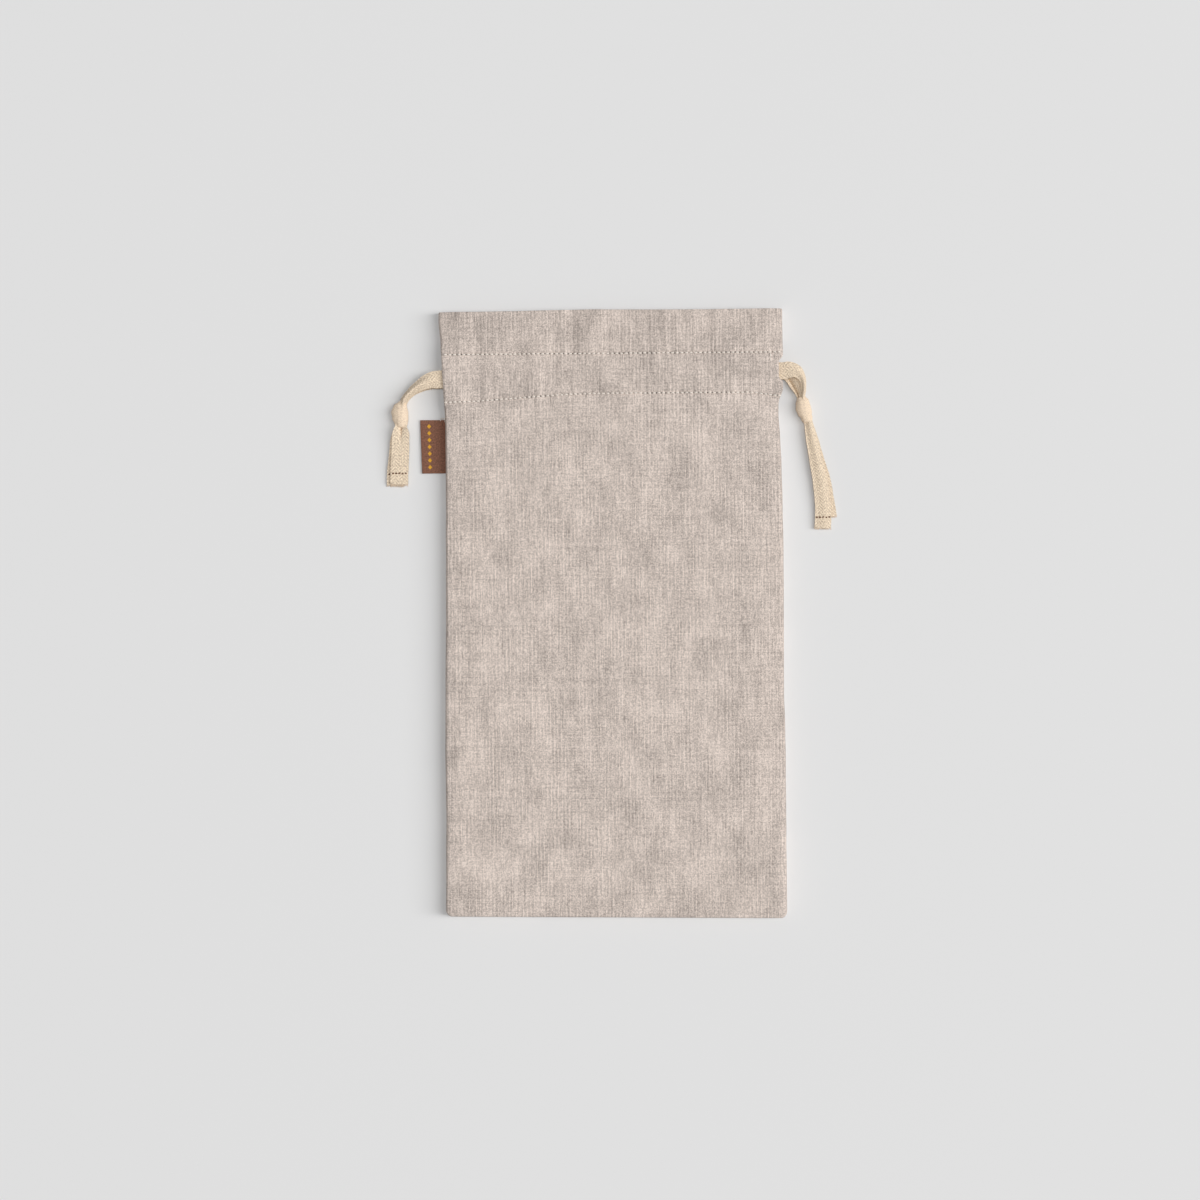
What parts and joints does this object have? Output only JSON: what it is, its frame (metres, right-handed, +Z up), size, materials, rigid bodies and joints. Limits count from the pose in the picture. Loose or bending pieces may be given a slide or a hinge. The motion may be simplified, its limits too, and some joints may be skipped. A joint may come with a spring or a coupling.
{
  "type": "drawstring bread bag",
  "caption": "Flat linen drawstring bread bag lying empty, with a stitched tape channel below its header, knotted cotton tapes at both sides and a bare woven label in one seam.",
  "frame": {"origin": "on the table, in the middle of the bag's underside", "axes": "+X across the bag to the right, +Y from the closed bottom to the mouth, +Z up from the table"},
  "size_m": [0.3313, 0.444, 0.0136],
  "materials": {
    "linen": "plain-woven flax linen, natural grey-beige, slubby, matt",
    "linen_thread": "spun sewing thread, pale natural",
    "cotton_tape": "herringbone twill cotton tape, unbleached cream, matt",
    "brown_thread": "spun sewing thread, brown",
    "label_ribbon": "damask-woven ribbon, brown, fine ribbed, slight sheen"
  },
  "bodies": {
    "bag": {"front_panel": "linen", "back_panel": "linen", "bottom_seam": "linen_thread", "front_upper_row": "linen_thread", "front_lower_row": "linen_thread", "back_upper_row": "linen_thread", "back_lower_row": "linen_thread"},
    "left_drawstring": {"left_drawstring_run": "cotton_tape", "left_front_strand": "cotton_tape", "left_rear_strand": "cotton_tape", "left_knot": "cotton_tape", "left_front_tail": "cotton_tape", "left_rear_tail": "cotton_tape", "left_front_tail_stitch": "brown_thread", "left_rear_tail_stitch": "brown_thread"},
    "right_drawstring": {"right_drawstring_run": "cotton_tape", "right_front_strand": "cotton_tape", "right_rear_strand": "cotton_tape", "right_knot": "cotton_tape", "right_front_tail": "cotton_tape", "right_rear_tail": "cotton_tape", "right_front_tail_stitch": "brown_thread", "right_rear_tail_stitch": "brown_thread"},
    "left_side": {"left_side_seam": "linen_thread", "left_header_seam": "linen_thread"},
    "right_side": {"right_side_seam": "linen_thread", "right_header_seam": "linen_thread", "right_slot_tack": "linen_thread"},
    "label": {"side_label": "label_ribbon"}
  },
  "joints": [
    {"name": "left_pull", "type": "slide", "parent": "bag", "child": "left_drawstring", "axis": [-1, 0, 0], "range_m": [0, 0.06], "deforming": ["front_panel", "back_panel", "front_upper_row", "front_lower_row", "back_upper_row", "back_lower_row"]},
    {"name": "right_pull", "type": "slide", "parent": "bag", "child": "right_drawstring", "axis": [1, 0, 0], "range_m": [0, 0.06]},
    {"name": "left_side_gather", "type": "hinge", "parent": "bag", "child": "left_side", "pos_m": [-0.095, -0.215, 0], "axis": [0, 0, -1], "range_deg": [0, 9]},
    {"name": "right_side_gather", "type": "hinge", "parent": "bag", "child": "right_side", "pos_m": [0.095, -0.215, 0], "axis": [0, 0, 1], "range_deg": [0, 9]},
    {"name": "label_flip", "type": "hinge", "parent": "left_side", "child": "label", "pos_m": [-0.1253, 0.1234, 0.002], "axis": [0, 1, 0], "range_deg": [0, 110]}
  ],
  "couplings": [
    {"joint": "right_pull", "follows": "left_pull", "ratio": 1},
    {"joint": "left_side_gather", "follows": "left_pull", "rad_per_m": 2.575},
    {"joint": "right_side_gather", "follows": "left_pull", "rad_per_m": 2.575}
  ]
}
